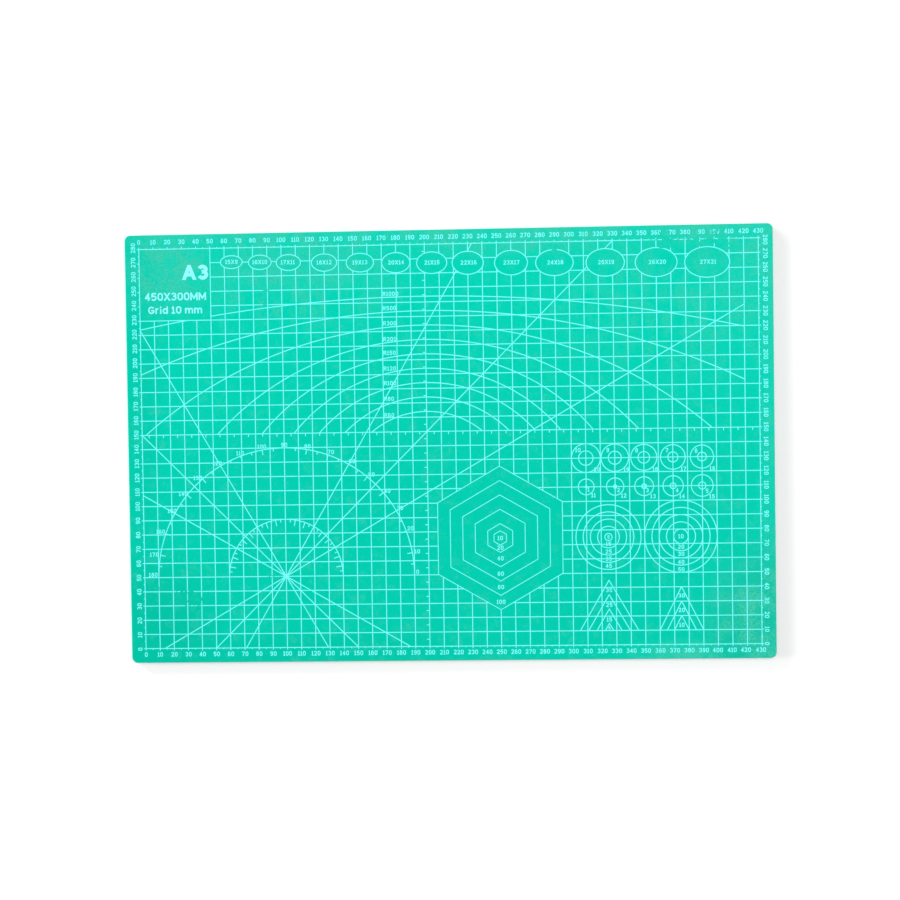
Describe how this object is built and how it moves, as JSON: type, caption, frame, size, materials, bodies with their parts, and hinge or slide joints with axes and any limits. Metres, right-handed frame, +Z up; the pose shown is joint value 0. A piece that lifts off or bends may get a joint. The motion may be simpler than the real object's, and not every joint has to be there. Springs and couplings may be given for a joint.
{
  "type": "self healing mat",
  "caption": "Flat rectangular cutting mat with rounded corners: a hard core between two soft skins, printed on top with a centimetre grid, scales, angle lines and templates.",
  "frame": {"origin": "centre of the underside, which rests on the table", "axes": "+X along the mat's long side, towards the high numbers of the bottom scale; +Y along its short side, towards the ovals; +Z up, out of the printed face"},
  "size_m": [0.45, 0.3, 0.003],
  "materials": {
    "skin": "matt, finely grained",
    "core": "matt",
    "ink": "matt print"
  },
  "bodies": {
    "root": {"back_skin": "skin", "core_sheet": "core", "front_skin": "skin", "frame_line": "ink", "edge_ticks": "ink", "oval_outlines": "ink", "hexagon_outlines": "ink", "grid_lines": "ink", "middle_ticks": "ink", "angle_lines": "ink", "radius_arcs": "ink", "protractor_arcs": "ink", "template_circles": "ink", "nested_circles": "ink", "nested_triangles": "ink", "bottom_scale_numbers": "ink", "top_scale_numbers": "ink", "left_scale_numbers": "ink", "right_scale_numbers": "ink", "size_label": "ink", "oval_names": "ink", "arc_names": "ink", "protractor_numbers": "ink", "hexagon_numbers": "ink", "template_numbers": "ink", "nested_circle_numbers": "ink", "triangle_numbers": "ink"}
  },
  "joints": []
}
